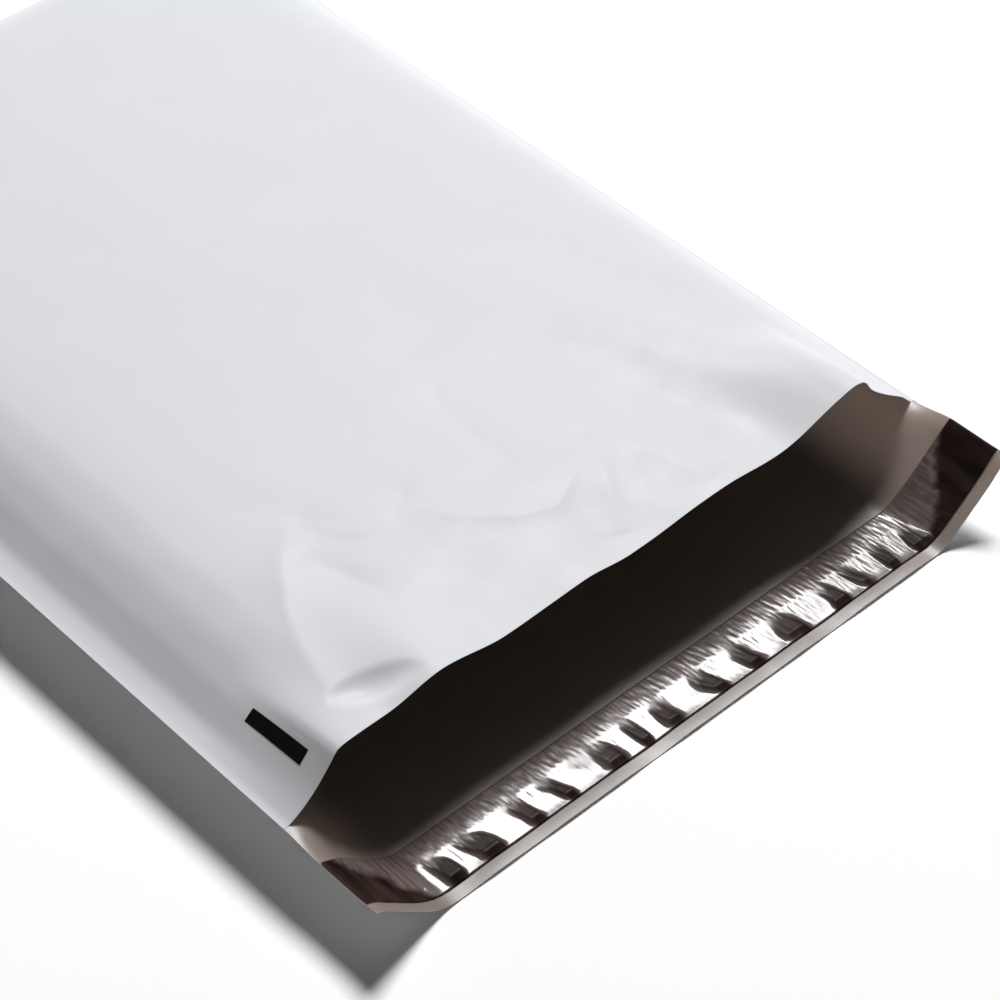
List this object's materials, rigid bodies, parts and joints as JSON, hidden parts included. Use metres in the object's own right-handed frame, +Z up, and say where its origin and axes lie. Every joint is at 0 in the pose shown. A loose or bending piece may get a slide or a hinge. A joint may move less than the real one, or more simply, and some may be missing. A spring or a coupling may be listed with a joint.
{
  "type": "poly mailer",
  "caption": "Plain white poly mailer bag with a grey-brown inside, lying with its mouth open, its adhesive closing flap laid out under a glossy peel-off liner.",
  "frame": {"origin": "centre of the bag's footprint, on the surface that it lies on", "axes": "+X across the bag, +Y along it from the flap and mouth towards the closed end, +Z up"},
  "size_m": [0.254, 0.3661, 0.0424],
  "materials": {
    "white_film": "satin co-extruded polyethylene film, white outside and grey-brown inside",
    "hot_melt": "glossy tacky hot-melt adhesive",
    "clear_liner": "very glossy silicone-coated film, puckered across its width",
    "black_ink": "black flexographic ink"
  },
  "bodies": {
    "root": {"mailer_film": "white_film", "adhesive_band": "hot_melt", "release_liner": "clear_liner", "eye_mark": "black_ink"}
  },
  "joints": []
}
